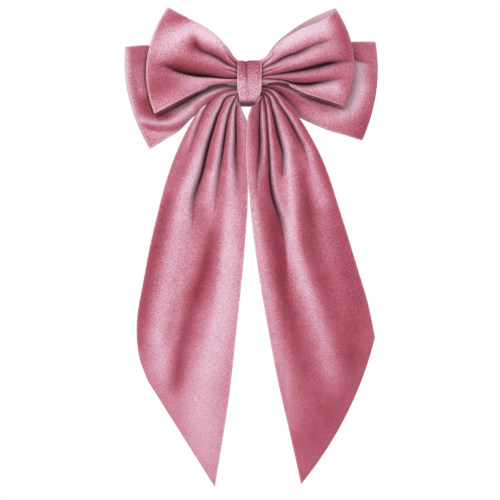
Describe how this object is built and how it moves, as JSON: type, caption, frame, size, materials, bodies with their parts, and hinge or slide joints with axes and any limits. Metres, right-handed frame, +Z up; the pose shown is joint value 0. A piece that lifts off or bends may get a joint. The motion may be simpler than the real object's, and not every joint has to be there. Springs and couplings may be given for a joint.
{
  "type": "barrette",
  "caption": "Velvet double bow with gathered knot and long slanted tails, sewn to a sprung steel hair clip with a hinged clasp arm and squeeze latch.",
  "frame": {"origin": "centre of the clasp arm's flat face that lies on the head, level with the middle of the knot", "axes": "+X to the right of someone looking at the bow from the front, along the clip; +Y from the bow towards the head; +Z up, away from the tails"},
  "size_m": [0.1797, 0.0468, 0.3385],
  "materials": {
    "velvet": "dusty rose velvet, short pile with a nap that shades light and dark",
    "sewing_thread": "twisted polyester thread",
    "backing_felt": "thin pressed felt",
    "clip_steel": "nickel plated, satin",
    "spring_steel": "nickel plated, brighter and thinner"
  },
  "bodies": {
    "bow": {"base_plate": "clip_steel", "hinge_pin": "clip_steel", "catch_plate": "spring_steel", "catch_rivet": "clip_steel", "backing_pad": "backing_felt", "stitch_left": "sewing_thread", "stitch_right": "sewing_thread", "front_bow": "velvet", "rear_bow": "velvet", "front_gather_thread": "sewing_thread", "rear_gather_thread": "sewing_thread", "tail_fold": "velvet", "tail_gather_thread": "sewing_thread", "knot_band": "velvet"},
    "clasp": {"clasp_arm": "clip_steel"},
    "spring_bar": {"tension_bar": "spring_steel"},
    "upper_prong": {"latch_prong_upper": "spring_steel"},
    "lower_prong": {"latch_prong_lower": "spring_steel"},
    "left_tail": {"tail_left": "velvet"},
    "right_tail": {"tail_right": "velvet"}
  },
  "joints": [
    {"name": "clasp_hinge", "type": "hinge", "parent": "bow", "child": "clasp", "pos_m": [0.037, -0.0015, 0], "axis": [0, 0, -1], "range_deg": [0, 80]},
    {"name": "bar_hinge", "type": "hinge", "parent": "bow", "child": "spring_bar", "pos_m": [0.037, -0.0015, 0], "axis": [0, 0, -1], "range_deg": [0, 12]},
    {"name": "latch_squeeze", "type": "hinge", "parent": "bow", "child": "upper_prong", "pos_m": [-0.037, -0.0057, 0.00195], "axis": [-1, 0, 0], "range_deg": [0, 9], "stiffness_Nm_per_rad": 0.02},
    {"name": "latch_squeeze_lower", "type": "hinge", "parent": "bow", "child": "lower_prong", "pos_m": [-0.037, -0.0057, -0.00195], "axis": [1, 0, 0], "range_deg": [0, 9], "stiffness_Nm_per_rad": 0.02},
    {"name": "left_tail_swing", "type": "hinge", "parent": "bow", "child": "left_tail", "pos_m": [-0.02, -0.0326, -0.0144], "axis": [-1, 0, 0], "range_deg": [0, 50]},
    {"name": "right_tail_swing", "type": "hinge", "parent": "bow", "child": "right_tail", "pos_m": [0.02, -0.0326, -0.0144], "axis": [-1, 0, 0], "range_deg": [0, 50]}
  ],
  "couplings": [
    {"joint": "bar_hinge", "follows": "clasp_hinge", "ratio": 0.15},
    {"joint": "latch_squeeze_lower", "follows": "latch_squeeze", "ratio": 1}
  ]
}
